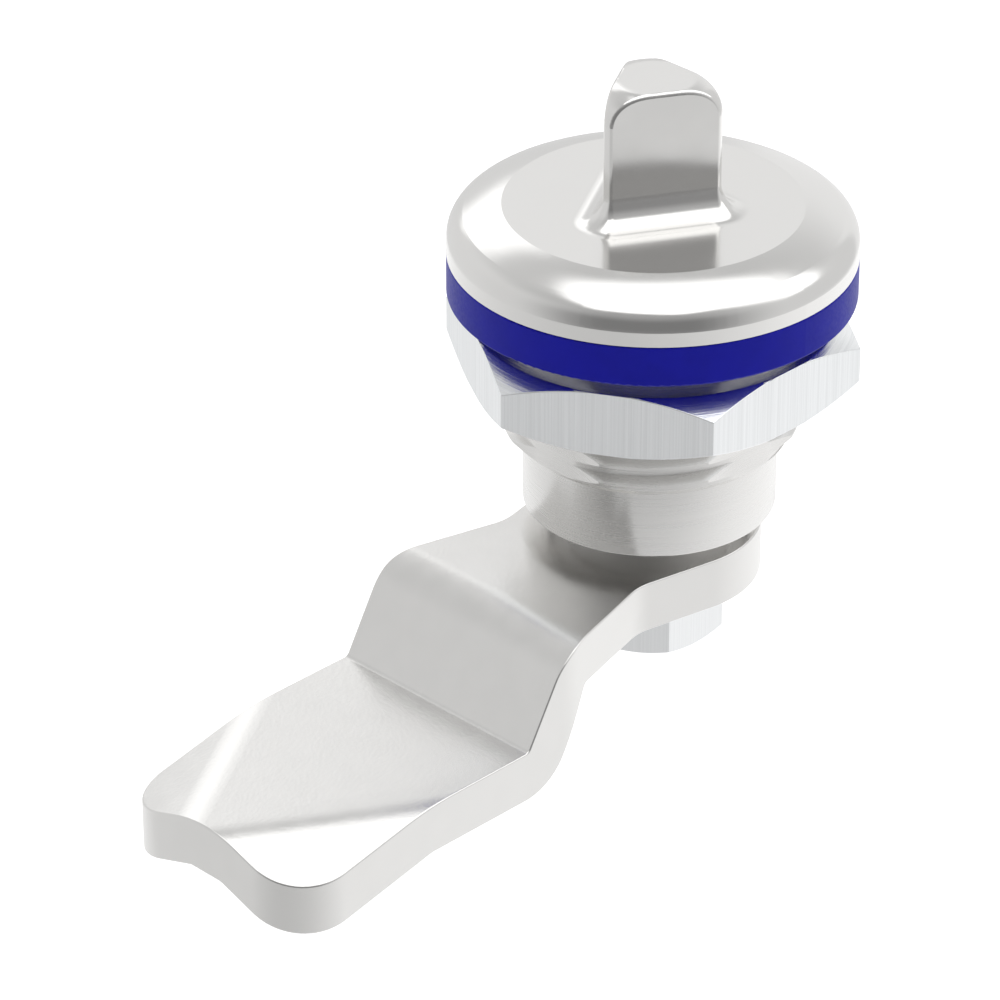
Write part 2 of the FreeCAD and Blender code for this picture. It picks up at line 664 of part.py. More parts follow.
def make_hex_nut():
    body = new_body("hex_nut", "-Sizes.panel_thickness")
    hexagon = new_sketch(body, "hexagon_outline", "XY_Plane")
    draw_polygon(hexagon, "Places.nut_corner", 6)
    pad(body, "hexagon", hexagon, "Sizes.nut_height", downward=True)
    bore = new_sketch(body, "bore_outline", "XY_Plane")
    draw_circle(bore, "Places.thread_root + Sizes.nut_bore_gap")
    pocket(body, "bore", bore, "Sizes.nut_height")
    for name, height, upper in (("upper_chamfer", "0", True), ("lower_chamfer", "-Sizes.nut_height", False)):
        chamfer_ring(body, name, "Places.nut_chamfer_radius", "Sizes.nut_chamfer_angle",
                     "Places.nut_corner", height, upper)
    return body


def draw_arm_side(sketch):
    """Side view: a strip with one bend down and one bend back to level."""
    behind = "Sizes.arm_hub_radius + Sizes.cut_margin"
    beyond = "-(Sizes.arm_length + 2 * Sizes.cut_margin)"
    sine = "sin(Sizes.crank_angle)"
    cosine = "cos(Sizes.crank_angle)"
    inner = "Sizes.crank_inner_radius"
    outer = "Places.crank_outer"
    upper_centre = f"Places.arm_top - {outer}"
    lower_centre = f"Places.arm_low_top + {inner}"
    low_under = "Places.arm_low_top - Sizes.arm_thickness"
    draw_outline(sketch, [
        (behind, "Places.arm_top"),
        (behind, "Places.arm_under"),
        ("-Sizes.crank_start", "Places.arm_under"),
        (f"-Sizes.crank_start - {inner} * {sine}", f"{upper_centre} + {inner} * {cosine}"),
        (f"-Places.crank_end + {outer} * {sine}", f"{lower_centre} - {outer} * {cosine}"),
        ("-Places.crank_end", low_under),
        (beyond, low_under),
        (beyond, "Places.arm_low_top"),
        ("-Places.crank_end", "Places.arm_low_top"),
        (f"-Places.crank_end + {inner} * {sine}", f"{lower_centre} - {inner} * {cosine}"),
        (f"-Sizes.crank_start - {outer} * {sine}", f"{upper_centre} + {outer} * {cosine}"),
        ("-Sizes.crank_start", "Places.arm_top")],
        {2: (inner, 1), 4: (outer, -1), 8: (inner, 1), 10: (outer, -1)})


def draw_arm_plan(sketch):
    """Plan view: a round hub, a straight neck, a waist, a flare and a straight tip with round corners."""
    half = "Sizes.arm_half_width"
    right = [("Places.hub_touch_v", "-Places.hub_touch_u"),
             ("Places.neck_to_v", "-Places.neck_to_u"),
             ("Places.flare_from_v", "-Places.flare_from_u"),
             ("Places.flare_to_v", "-Places.flare_to_u"),
             (half, "-Places.shoulder_end_u"),
             (half, "-(Sizes.arm_length - Sizes.arm_corner_radius)"),
             (f"{half} - Sizes.arm_corner_radius", "-Sizes.arm_length")]
    left = [(f"-({x})", y) for x, y in reversed(right)]
    hub = ("Sizes.arm_hub_radius", -1)
    waist = ("Sizes.arm_waist_radius", 1)
    shoulder = ("Sizes.arm_shoulder_radius", -1)
    corner = ("Sizes.arm_corner_radius", -1)
    draw_outline(sketch, [("0", "Sizes.arm_hub_radius")] + right + left,
                 {0: hub, 2: waist, 4: shoulder, 6: corner, 8: corner, 10: shoulder, 12: waist, 14: hub})


def make_latch_arm():
    body = new_body("latch_arm")
    side_view = new_sketch(body, "side_view", "YZ_Plane")
    draw_arm_side(side_view)
    add_feature(body, "Pad", "cranked_strip", Profile=side_view, Midplane=True,
                expressions={"Length": "2 * Sizes.arm_half_width + 2 * Sizes.cut_margin"})

    bend = "Sizes.ramp_bend_radius"
    ramp_sides = (("right", "-Places.ramp_bend_turn"), ("left", "Places.ramp_bend_turn - 180 deg"))
    for side, yaw in ramp_sides:
        under = ramp_section(body, f"{side}_ramp_under", yaw)
        draw_outline(under, [
            ("Places.ramp_touch", "-Sizes.arm_thickness"),
            ("Places.ramp_reach", "-Sizes.arm_thickness - Places.ramp_drop"),
            ("Places.ramp_reach", "Places.ramp_middle"),
            ("Places.ramp_touch", "Places.ramp_middle")])
        add_feature(body, "Pad", f"{side}_ramp", Profile=under, Midplane=True,
                    expressions={"Length": "2 * Places.ramp_line + 2 * Sizes.cut_margin"})
    for side, yaw in ramp_sides:
        over = ramp_section(body, f"{side}_ramp_over", yaw)
        draw_outline(over, [
            ("0", "0"),
            (f"{bend} * sin(Sizes.ramp_angle)", f"-{bend} * (1 - cos(Sizes.ramp_angle))"),
            ("Places.ramp_reach", "-Places.ramp_drop"),
            ("Places.ramp_reach", "Sizes.cut_margin"),
            ("0", "Sizes.cut_margin")],
            {0: (bend, -1)})
        add_feature(body, "Pocket", f"{side}_ramp_face", Profile=over, Midplane=True,
                    expressions={"Length": "2 * Places.ramp_line + 2 * Sizes.cut_margin"})

    plan = new_sketch(body, "plan_view", "XY_Plane", "Places.arm_top + Sizes.cut_margin")
    margin = "Places.plan_margin"
    draw_box(plan, f"Sizes.arm_half_width + {margin}", f"-Sizes.arm_length - {margin}",
             f"Sizes.arm_hub_radius + {margin}")
    draw_arm_plan(plan)
    pocket(body, "outline", plan, f"Sizes.crank_drop + 2 * Sizes.arm_thickness + {margin}")
    cut_square_hole(body, "Places.arm_top", "Sizes.arm_thickness")
    return body


def ramp_section(body, name, yaw):
    """Sketch across a ramp's bend line: x runs outwards from the line and y upwards, from the tip."""
    sketch = new_sketch(body, name, "XY_Plane", "Places.arm_low_top")
    sketch.setExpression("AttachmentOffset.Base.y", "-Sizes.arm_length")
    sketch.setExpression("AttachmentOffset.Rotation.Yaw", yaw)
    sketch.setExpression("AttachmentOffset.Rotation.Roll", "90")
    doc.recompute()
    return sketch


def make_lock_washer():
    body = new_body("lock_washer", "Places.arm_under")
    ring = new_sketch(body, "ring_outline", "XY_Plane")
    draw_circle(ring, "Sizes.lock_washer_radius")
    draw_circle(ring, "Places.lock_washer_bore")
    pad(body, "ring", ring, "Sizes.lock_washer_thickness", downward=True)
    notch = new_sketch(body, "notch_outline", "XY_Plane")
    draw_box(notch, "Sizes.lock_notch_width / 2", "Sizes.lock_washer_radius - Sizes.lock_notch_depth",
             "Sizes.lock_washer_radius + Sizes.cut_overlap")
    cut = pocket(body, "notch", notch, "Sizes.lock_washer_thickness")
    add_feature(body, "PolarPattern", "teeth", Originals=[cut], Axis=(notch, ["N_Axis"]), Angle=360,
                Occurrences=int(number("Sizes.lock_tooth_count")))
    return body


def make_arm_screw():
    body = new_body("arm_screw", "Places.screw_seat")
    hexagon = new_sketch(body, "hexagon_outline", "XY_Plane")
    draw_polygon(hexagon, "Places.screw_head_corner", 6)
    pad(body, "head", hexagon, "Sizes.screw_head_height", downward=True)
    chamfer_ring(body, "head_chamfer", "Sizes.screw_head_flats / 2", "Sizes.screw_chamfer_angle",
                 "Places.screw_head_corner", "-Sizes.screw_head_height", False)
    shank_side = "Sizes.screw_radius - Sizes.screw_point_chamfer"
    revolve(body, "shank", [
        ("0", "0"),
        ("Sizes.screw_radius", "0"),
        ("Sizes.screw_radius", "Sizes.screw_length - Sizes.screw_point_chamfer"),
        (shank_side, "Sizes.screw_length"),
        ("0", "Sizes.screw_length")])
    return body


pieces = [
    make_drive_spindle(),
    make_panel_seal(),
    make_housing(),
    make_front_bush(),
    make_rear_bush(),
    make_seal_ring("front_seal_ring", "Places.front_ring"),
    make_seal_ring("rear_seal_ring", "Places.rear_ring"),
    make_thrust_washer(),
    make_disc_spring(),
    make_snap_ring(),
    make_stop_disc(),
    make_hex_nut(),
    make_latch_arm(),
    make_lock_washer(),
    make_arm_screw(),
]
doc.recompute()

for item in doc.Objects:
    if "Invalid" in item.State or "Error" in item.State:
        raise ValueError(f"{item.Label} failed: {item.State}")
for piece in pieces:
    if piece.Shape.isNull() or not piece.Shape.isValid():
        raise ValueError(f"{piece.Label} has no valid shape")
    if len(piece.Shape.Solids) != 1:
        raise ValueError(f"{piece.Label} has {len(piece.Shape.Solids)} solids")

os.makedirs("parts", exist_ok=True)
for piece in pieces:
    piece.Shape.exportStep(f"parts/{piece.Label}.step")
    box = piece.Shape.BoundBox
    print(f"{piece.Label}: {piece.Shape.Volume:.1f} mm3, z {box.ZMin:.2f} to {box.ZMax:.2f}")
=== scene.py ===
"""Looks of a stainless quarter-turn latch: polished head, blue seal, brushed nut and blasted latch arm."""
import math

import bpy
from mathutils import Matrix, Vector


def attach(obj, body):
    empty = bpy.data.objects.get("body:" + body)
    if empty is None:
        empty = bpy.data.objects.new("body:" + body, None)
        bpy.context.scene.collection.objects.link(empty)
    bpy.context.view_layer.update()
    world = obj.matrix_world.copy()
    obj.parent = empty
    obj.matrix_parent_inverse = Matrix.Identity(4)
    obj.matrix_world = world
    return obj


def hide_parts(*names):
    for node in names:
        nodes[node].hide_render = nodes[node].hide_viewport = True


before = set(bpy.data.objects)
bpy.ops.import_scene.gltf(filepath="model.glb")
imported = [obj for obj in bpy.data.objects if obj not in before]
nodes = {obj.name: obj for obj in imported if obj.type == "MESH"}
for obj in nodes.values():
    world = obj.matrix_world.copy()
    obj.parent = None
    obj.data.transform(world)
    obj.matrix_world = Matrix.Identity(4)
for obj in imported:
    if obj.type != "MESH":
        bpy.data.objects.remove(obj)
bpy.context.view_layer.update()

MM = 0.001

# Camera as solved from the photograph
CAMERA_AZIMUTH = math.radians(45.0)
CAMERA_ELEVATION = math.radians(30.0)
CAMERA_DISTANCE = 407.3 * MM
CAMERA_TARGET = Vector((-7.83, -7.83, -17.78)) * MM
CAMERA_LENS = 197.1
CAMERA_SENSOR = 36.0
CAMERA_CLIP = (10 * MM, 20.0)

FLOOR_LEVEL = -52 * MM
FLOOR_SIZE = 3.0
FLOOR_COLOR = (0.85, 0.85, 0.85, 1.0)
WHITE = (1.0, 1.0, 1.0, 1.0)
# Light that the floor adds for the camera alone, so that it looks white
FLOOR_LIFT = 0.42

# Housing, in millimetres: the same sizes as the solid that its detailed piece replaces
FLANGE_RADIUS = 12.5
FLANGE_TOP = 2.2
FLANGE_UNDER = 0.6
THREAD_RADIUS = 11.0
THREAD_DEPTH = 0.8
THREAD_PITCH = 1.5
THREAD_CREST = 0.19
THREAD_FLANK_ANGLE = math.radians(30.0)
THREAD_END = -10.5
THREAD_NECK = 1.3
BARREL_END = -11.9
BARREL_HALF = 10.05
NOSE_RADIUS = 9.4
NOSE_EDGE_RADIUS = 0.2
HOUSING_END = -17.2
BUSH_RADIUS = 7.5
LAND_RADIUS = 6.1
LAND_START = -3.8
LAND_END = -8.8
RECESS_RADIUS = 8.6
RECESS_TOP = -14.7
RECESS_FROM = math.radians(69.5)
RECESS_TO = math.radians(200.5)
# Towards the camera: here the helix passes at the heights of the solid's ring grooves
FRONT_ANGLE = math.radians(-45.0)

# How far the cutters reach past the metal
THREAD_SPARE = 0.6
FLATS_SPARE = 2.0
RECESS_SPARE = 0.5
RECESS_SPARE_BELOW = 1.0
# The thread's groove starts this far outside the barrel, and grows to its full depth over this angle
START_RELIEF = 0.02
THREAD_LEAD_IN = math.pi / 2
# Steps round the axis: of the body, of one turn of the thread and of the whole recess
BODY_STEPS = 192
THREAD_STEPS = 96
RECESS_STEPS = 48
# Steps of the small round at the end of the housing
NOSE_EDGE_STEPS = 4

# Edges that turn by more than this stay edges, and some get a small round of this many faces
SHARP_ANGLE = math.radians(18.0)
EDGE_SEGMENTS = 3
# Faces that differ by less than this are one flat face
FLAT_ANGLE = math.radians(0.4)
# Points closer than this are one point
JOIN_DISTANCE = 0.0005 * MM


def link(thing):
    bpy.context.scene.collection.objects.link(thing)
    return thing


def make_camera():
    """The photograph's camera."""
    camera = link(bpy.data.objects.new("camera", bpy.data.cameras.new("camera")))
    back = Vector((math.sin(CAMERA_AZIMUTH) * math.cos(CAMERA_ELEVATION),
                   -math.cos(CAMERA_AZIMUTH) * math.cos(CAMERA_ELEVATION),
                   math.sin(CAMERA_ELEVATION)))
    camera.location = CAMERA_TARGET + back * CAMERA_DISTANCE
    camera.rotation_mode = "QUATERNION"
    camera.rotation_quaternion = (-back).to_track_quat("-Z", "Y")
    camera.data.lens = CAMERA_LENS
    camera.data.sensor_width = CAMERA_SENSOR
    camera.data.clip_start, camera.data.clip_end = CAMERA_CLIP
    bpy.context.scene.camera = camera


class Graph:
    """Short way to add nodes and links to a node tree."""

    def __init__(self, tree):
        self.tree = tree
        self.tree.nodes.clear()

    def add(self, kind, inputs=None, **settings):
        node = self.tree.nodes.new(kind)
        for name, setting in settings.items():
            setattr(node, name, setting)
        for name, content in (inputs or {}).items():
            self.put(node.inputs[name], content)
        return node

    def put(self, socket, content):
        if isinstance(content, bpy.types.NodeSocket):
            self.tree.links.new(content, socket)
        else:
            socket.default_value = content

    def math(self, operation, *contents):
        node = self.tree.nodes.new("ShaderNodeMath")
        node.operation = operation
        for socket, content in zip(node.inputs, contents):
            self.put(socket, content)
        return node.outputs[0]

    def smooth(self, content, low, high, start=0.0, end=1.0):
        """Go smoothly from start to end while content goes from low to high."""
        node = self.add("ShaderNodeMapRange", {"Value": content, "From Min": low, "From Max": high,
                                               "To Min": start, "To Max": end},
                        interpolation_type="SMOOTHSTEP")
        return node.outputs["Result"]

    def mix(self, share, first, second):
        """Blend two numbers."""
        node = self.add("ShaderNodeMix", {"Factor": share, "A": first, "B": second}, data_type="FLOAT")
        return node.outputs["Result"]

    def point(self, x, y, z):
        return self.add("ShaderNodeCombineXYZ", {"X": x, "Y": y, "Z": z}).outputs["Vector"]

    def parts(self, vector):
        return self.add("ShaderNodeSeparateXYZ", {"Vector": vector}).outputs

    def noise(self, vector, scale, detail=2.0, rough=0.5):
        return self.add("ShaderNodeTexNoise", {"Vector": vector, "Scale": scale, "Detail": detail,
                                               "Roughness": rough}).outputs["Fac"]


# Studio round the object: light levels, with 1 as a white wall, and angles in degrees
SOFTBOX_LIGHT = 1.6
BACK_BOX_LIGHT = 1.5
SIDE_PANEL_LIGHT = 0.93
# The wall is dark in one direction, and grows light between two angles away from it
DARK_DIRECTION = 311.0
DARK_EDGE = (22.0, 80.0)
DARK_LIGHT = 0.23
WALL_LIGHT = 0.75
# Between these heights the wall drops to a share of its light
HIGH_EDGE = (25.0, 57.0)
HIGH_SHARE = 0.76
# Light over the dark opening: how far it reaches to the sides, and between which heights it rises
GLOW_SIDE_EDGE = (30.0, 75.0)
GLOW_LOWER_EDGE = (15.0, 45.0)
GLOW_LIGHT = 0.22
# Pale stretch of the wall
PALE_DIRECTION = 185.0
PALE_EDGE = (10.0, 50.0)
PALE_LIGHT = 0.07
# The studio's floor is lightest in one direction
FLOOR_EDGE = (-25.0, -21.0)
FLOOR_DIRECTION = 100.0
FLOOR_MEAN = 0.91
FLOOR_SWING = 0.24
# Windows as middle, half width and its softness, then lower edge, upper edge and their softness
SIDE_PANEL = (113.0, 16.0, 3.0, -40.0, 28.0, 10.0)
SIDE_PATCH = (134.0, 9.0, 5.0, 20.0, 42.0, 6.0)
BACK_BOX = (153.0, 12.5, 4.0, 18.0, 41.0, 4.0)
# Edges of the two overhead softboxes as compass angle, distance for a box one unit above, and softness
MAIN_BOX = ((205.0, 0.45, 0.05), (222.0, 0.53, 0.05), (316.5, 0.55, 0.14), (52.0, 2.6, 0.06),
            (133.0, 0.68, 0.06), (145.0, 0.61, 0.06))
FRONT_BOX = ((205.0, 0.45, 0.05), (222.0, 0.53, 0.05), (299.0, 0.73, 0.05), (0.0, 0.77, 0.07),
             (90.0, 0.2, 0.2))


def make_world():
    """A pale studio with two softboxes overhead, a small one behind and a dark opening at the front."""
    world = bpy.data.worlds.new("studio")
    bpy.context.scene.world = world
    world.use_nodes = True
    graph = Graph(world.node_tree)
    direction = graph.add("ShaderNodeTexCoord").outputs["Generated"]
    axes = graph.parts(direction)
    turn = graph.math("ARCTAN2", axes["Y"], axes["X"])
    height = graph.math("ARCSINE", axes["Z"])

    def turn_from(middle):
        """Compass angle away from a direction, without sign."""
        away = graph.math("SUBTRACT", turn, math.radians(middle))
        return graph.math("ABSOLUTE", graph.math("WRAP", away, math.pi, -math.pi))

    def rise(content, edge, start=0.0, end=1.0):
        """Smooth change between the two angles of an edge."""
        low, high = edge
        return graph.smooth(content, math.radians(low), math.radians(high), start, end)

    def window(middle, half, half_soft, low, high, soft):
        """Soft-edged window in the studio's walls."""
        across = rise(turn_from(middle), (half - half_soft, half + half_soft), 1.0, 0.0)
        above = rise(height, (low - soft, low + soft))
        below = rise(height, (high - soft, high + soft), 1.0, 0.0)
        return graph.math("MULTIPLY", across, graph.math("MULTIPLY", above, below))

    def overhead(edges):
        """Soft-edged softbox overhead, bounded by straight edges."""
        inside = 1.0
        for angle, distance, softness in edges:
            along = graph.math("ADD", graph.math("MULTIPLY", axes["X"], math.cos(math.radians(angle))),
                               graph.math("MULTIPLY", axes["Y"], math.sin(math.radians(angle))))
            reach = graph.math("SUBTRACT", graph.math("MULTIPLY", axes["Z"], distance), along)
            inside = graph.math("MULTIPLY", inside, graph.smooth(reach, -softness, softness))
        return inside

    away_from_dark = turn_from(DARK_DIRECTION)
    wall = rise(away_from_dark, DARK_EDGE, DARK_LIGHT, WALL_LIGHT)
    wall = graph.math("MULTIPLY", wall, rise(height, HIGH_EDGE, 1.0, HIGH_SHARE))
    glow = graph.math("MULTIPLY", rise(away_from_dark, GLOW_SIDE_EDGE, 1.0, 0.0),
                      rise(height, GLOW_LOWER_EDGE, 0.0, GLOW_LIGHT))
    wall = graph.math("ADD", wall, glow)
    wall = graph.math("ADD", wall, rise(turn_from(PALE_DIRECTION), PALE_EDGE, PALE_LIGHT, 0.0))
    light = graph.mix(window(*SIDE_PANEL), wall, SIDE_PANEL_LIGHT)
    light = graph.mix(window(*SIDE_PATCH), light, SIDE_PANEL_LIGHT)
    floor_side = graph.math("COSINE", graph.math("SUBTRACT", turn, math.radians(FLOOR_DIRECTION)))
    floor = graph.math("MULTIPLY_ADD", floor_side, FLOOR_SWING, FLOOR_MEAN)
    light = graph.mix(rise(height, FLOOR_EDGE, 1.0, 0.0), light, floor)
    light = graph.mix(window(*BACK_BOX), light, BACK_BOX_LIGHT)
    light = graph.mix(graph.math("MAXIMUM", overhead(MAIN_BOX), overhead(FRONT_BOX)), light, SOFTBOX_LIGHT)

    seen = graph.add("ShaderNodeLightPath").outputs["Is Camera Ray"]
    strength = graph.mix(seen, light, 1.0)
    background = graph.add("ShaderNodeBackground", {"Color": WHITE, "Strength": strength})
    output = graph.add("ShaderNodeOutputWorld")
    graph.tree.links.new(background.outputs[0], output.inputs["Surface"])


def new_material(name, color, metallic, roughness):
    """Material with a Principled shader, to which a finish is added."""
    material = bpy.data.materials.new(name)
    material.use_nodes = True
    graph = Graph(material.node_tree)
    shader = graph.add("ShaderNodeBsdfPrincipled")
    shader.inputs["Base Color"].default_value = (*color, 1.0)
    shader.inputs["Metallic"].default_value = metallic
    shader.inputs["Roughness"].default_value = roughness
    output = graph.add("ShaderNodeOutputMaterial")
    graph.tree.links.new(shader.outputs[0], output.inputs["Surface"])
    return material, graph, shader


def millimetres(graph):
    """Place on the object, in millimetres."""
    place = graph.add("ShaderNodeTexCoord").outputs["Object"]
    return graph.add("ShaderNodeVectorMath", {0: place, "Scale": 1 / MM}, operation="SCALE").outputs[0]


# Stretches of a noise's values over which it goes from one extreme to the other
WIDE_RANGE = (0.3, 0.7)
NARROW_RANGE = (0.35, 0.65)


def tint(graph, shader, color, noise, low, high):
    """Vary the colour's brightness from low to high with a noise."""
    brightness = graph.smooth(noise, *WIDE_RANGE, low, high)
    mixed = graph.add("ShaderNodeVectorMath", {0: color, "Scale": brightness}, operation="SCALE")
    graph.put(shader.inputs["Base Color"], mixed.outputs[0])


def vary_shine(graph, shader, noise, limits, roughness, swing):
    """Vary the roughness by a swing to both sides with a noise."""
    graph.put(shader.inputs["Roughness"], graph.smooth(noise, *limits, roughness - swing, roughness + swing))


def bump(graph, shader, height, depth):
    """Bump whose full height is depth in millimetres."""
    node = graph.add("ShaderNodeBump", {"Height": height, "Strength": 1.0, "Distance": depth * MM})
    graph.put(shader.inputs["Normal"], node.outputs[0])


def round_axis(graph, axes):
    """Cosine and sine of the angle round the axis, and the distance from it."""
    angle = graph.math("ARCTAN2", axes["Y"], axes["X"])
    squared = graph.math("ADD", graph.math("MULTIPLY", axes["X"], axes["X"]),
                         graph.math("MULTIPLY", axes["Y"], axes["Y"]))
    return graph.math("COSINE", angle), graph.math("SINE", angle), graph.math("SQRT", squared)


# Rotation of the stretched shine, in turns, for lines round the axis, against none for upright lines
ROUND_AXIS = 0.25


def brush_along(graph, shader, strength, rotation):
    """Stretch the shine across brushed lines."""
    shader.inputs["Anisotropic"].default_value = strength
    graph.put(shader.inputs["Anisotropic Rotation"], rotation)
    tangent = graph.add("ShaderNodeTangent", direction_type="RADIAL", axis="Z")
    graph.put(shader.inputs["Tangent"], tangent.outputs[0])


def polished(name, color, roughness):
    """Mirror polish with the faintest clouds in its shine and brightness."""
    material, graph, shader = new_material(name, color, metallic=1.0, roughness=roughness)
    place = millimetres(graph)
    vary_shine(graph, shader, graph.noise(place, scale=0.35), WIDE_RANGE, roughness, swing=0.01)
    tint(graph, shader, color, graph.noise(place, scale=0.2), low=0.995, high=1.0)
    return material


# How closely the turned lines lie, the fine ones and the wide ones, and the share of the wide ones
FINE_LINES = 6.0
WIDE_LINES = 2.0
WIDE_SHARE = 0.35


def turned(name, color, roughness, contrast, depth):
    """Lathe finish: fine grooves round the axis, which fade in and out along their length."""
    material, graph, shader = new_material(name, color, metallic=1.0, roughness=roughness)
    place = millimetres(graph)
    axes = graph.parts(place)
    cosine, sine, radius = round_axis(graph, axes)
    across = graph.math("ADD", axes["Z"], radius)
    fine = graph.point(cosine, sine, graph.math("MULTIPLY", across, FINE_LINES))
    wide = graph.point(cosine, sine, graph.math("MULTIPLY", across, WIDE_LINES))
    lines = graph.noise(fine, scale=0.9, rough=0.6)
    both = graph.mix(WIDE_SHARE, lines, graph.noise(wide, scale=1.6))
    tint(graph, shader, color, both, 1.0 - contrast, 1.0 + contrast)
    vary_shine(graph, shader, lines, NARROW_RANGE, roughness, swing=0.02)
    bump(graph, shader, lines, depth)
    brush_along(graph, shader, strength=0.6, rotation=ROUND_AXIS)
    return material


# Upright lines lie this closely across the sides, and change this slowly along them
UPRIGHT_ACROSS = 7.0
UPRIGHT_ALONG = 0.04
# The same for the lines round the axis
RING_AROUND = 1.5
RING_ACROSS = 5.0
# The turned faces of nut and screw are smoother than their sides, with deeper lines by this factor
TURNED_FACE_ROUGHNESS = 0.17
TURNED_FACE_DEPTH = 18.0
# Steepness at which a side becomes a turned face, as the upright share of its normal
TURNED_FACE_EDGE = (0.2, 0.4)


def brushed(name, color, roughness, contrast, depth):
    """Hexagon finish: upright lines on the sides and concentric lines on the turned faces."""
    material, graph, shader = new_material(name, color, metallic=1.0, roughness=roughness)
    place = millimetres(graph)
    axes = graph.parts(place)
    cosine, sine, radius = round_axis(graph, axes)
    stretched = graph.point(graph.math("MULTIPLY", axes["X"], UPRIGHT_ACROSS),
                            graph.math("MULTIPLY", axes["Y"], UPRIGHT_ACROSS),
                            graph.math("MULTIPLY", axes["Z"], UPRIGHT_ALONG))
    coiled = graph.point(graph.math("MULTIPLY", cosine, RING_AROUND),
                         graph.math("MULTIPLY", sine, RING_AROUND),
                         graph.math("MULTIPLY", radius, RING_ACROSS))
    upright = graph.noise(stretched, scale=1.0, detail=3.0, rough=0.6)
    ring = graph.noise(coiled, scale=1.0, detail=3.0, rough=0.65)
    normal = graph.parts(graph.add("ShaderNodeTexCoord").outputs["Normal"])
    turned_face = graph.smooth(graph.math("ABSOLUTE", normal["Z"]), *TURNED_FACE_EDGE)
    lines = graph.mix(turned_face, upright, ring)
    tint(graph, shader, color, lines, 1.0 - contrast, 1.0 + contrast)
    graph.put(shader.inputs["Roughness"], graph.mix(turned_face, roughness, TURNED_FACE_ROUGHNESS))
    bump(graph, shader, graph.math("MULTIPLY", lines, graph.mix(turned_face, 1.0, TURNED_FACE_DEPTH)), depth)
    brush_along(graph, shader, strength=0.8, rotation=graph.math("MULTIPLY", turned_face, ROUND_AXIS))
    return material


def blasted(name, color, roughness, depth):
    """Glass-blasted finish: a fine even grain."""
    material, graph, shader = new_material(name, color, metallic=1.0, roughness=roughness)
    place = millimetres(graph)
    cloud = graph.noise(place, scale=0.5)
    tint(graph, shader, color, cloud, low=0.99, high=1.01)
    vary_shine(graph, shader, cloud, NARROW_RANGE, roughness, swing=0.01)
    bump(graph, shader, graph.noise(place, scale=3.4, detail=3.0, rough=0.55), depth)
    return material


def moulded(name, color, roughness, specular, depth=0.002):
    """Rubber or plastic with a fine mould texture."""
    material, graph, shader = new_material(name, color, metallic=0.0, roughness=roughness)
    shader.inputs["Specular IOR Level"].default_value = specular
    place = millimetres(graph)
    grain = graph.noise(place, scale=4.0, detail=3.0)
    tint(graph, shader, color, graph.noise(place, scale=0.4), low=0.94, high=1.04)
    vary_shine(graph, shader, grain, WIDE_RANGE, roughness, swing=0.04)
    bump(graph, shader, grain, depth)
    return material


def make_floor():
    """Pale floor: it looks white to the camera, and keeps a soft shadow."""
    half = FLOOR_SIZE / 2
    mesh = bpy.data.meshes.new("floor")
    corners = [(-half, -half, FLOOR_LEVEL), (half, -half, FLOOR_LEVEL), (half, half, FLOOR_LEVEL),
               (-half, half, FLOOR_LEVEL)]
    mesh.from_pydata(corners, [], [(0, 1, 2, 3)])
    floor = link(bpy.data.objects.new("floor", mesh))
    floor.visible_glossy = False
    material = bpy.data.materials.new("floor")
    material.use_nodes = True
    graph = Graph(material.node_tree)
    diffuse = graph.add("ShaderNodeBsdfDiffuse", {"Color": FLOOR_COLOR})
    seen = graph.add("ShaderNodeLightPath").outputs["Is Camera Ray"]
    lift = graph.add("ShaderNodeEmission", {"Color": WHITE,
                                            "Strength": graph.math("MULTIPLY", seen, FLOOR_LIFT)})
    both = graph.add("ShaderNodeAddShader")
    graph.tree.links.new(diffuse.outputs[0], both.inputs[0])
    graph.tree.links.new(lift.outputs[0], both.inputs[1])
    output = graph.add("ShaderNodeOutputMaterial")
    graph.tree.links.new(both.outputs[0], output.inputs["Surface"])
    mesh.materials.append(material)


def node_group(name):
    """Empty geometry node group, with its graph and its input."""
    group = bpy.data.node_groups.new(name, "GeometryNodeTree")
    group.interface.new_socket("Geometry", in_out="INPUT", socket_type="NodeSocketGeometry")
    group.interface.new_socket("Geometry", in_out="OUTPUT", socket_type="NodeSocketGeometry")
    graph = Graph(group)
    return group, graph, graph.add("NodeGroupInput").outputs[0]


def end_group(graph, geometry):
    graph.tree.links.new(geometry, graph.add("NodeGroupOutput").inputs[0])


def smooth_group():
    """Geometry nodes that shade a mesh smooth, but for its sharp edges."""
    group, graph, start = node_group("smooth_by_angle")
    angle = graph.add("GeometryNodeInputMeshEdgeAngle").outputs["Unsigned Angle"]
    gentle = graph.math("LESS_THAN", angle, SHARP_ANGLE)
    faces = graph.add("GeometryNodeSetShadeSmooth", {"Geometry": start, "Shade Smooth": True}, domain="FACE")
    edges = graph.add("GeometryNodeSetShadeSmooth", {"Geometry": faces.outputs[0], "Shade Smooth": gentle},
                      domain="EDGE")
    end_group(graph, edges.outputs[0])
    return group


def join_group():
    """Geometry nodes that join the faces of a solid into one smooth mesh, ready for a bevel."""
    group, graph, start = node_group("join_faces")
    plain = graph.add("GeometryNodeRemoveAttribute", {"Geometry": start, "Name": "custom_normal"})
    joined = graph.add("GeometryNodeMergeByDistance", {"Geometry": plain.outputs[0],
                                                       "Distance": JOIN_DISTANCE})
    faces = graph.add("GeometryNodeSetShadeSmooth", {"Geometry": joined.outputs[0], "Shade Smooth": True},
                      domain="FACE")
    edges = graph.add("GeometryNodeSetShadeSmooth", {"Geometry": faces.outputs[0], "Shade Smooth": True},
                      domain="EDGE")
    end_group(graph, edges.outputs[0])
    return group


SMOOTH = smooth_group()
JOIN = join_group()


def shade(thing):
    """Shade smooth, but for the sharp edges."""
    modifier = thing.modifiers.new("smooth", "NODES")
    modifier.node_group = SMOOTH


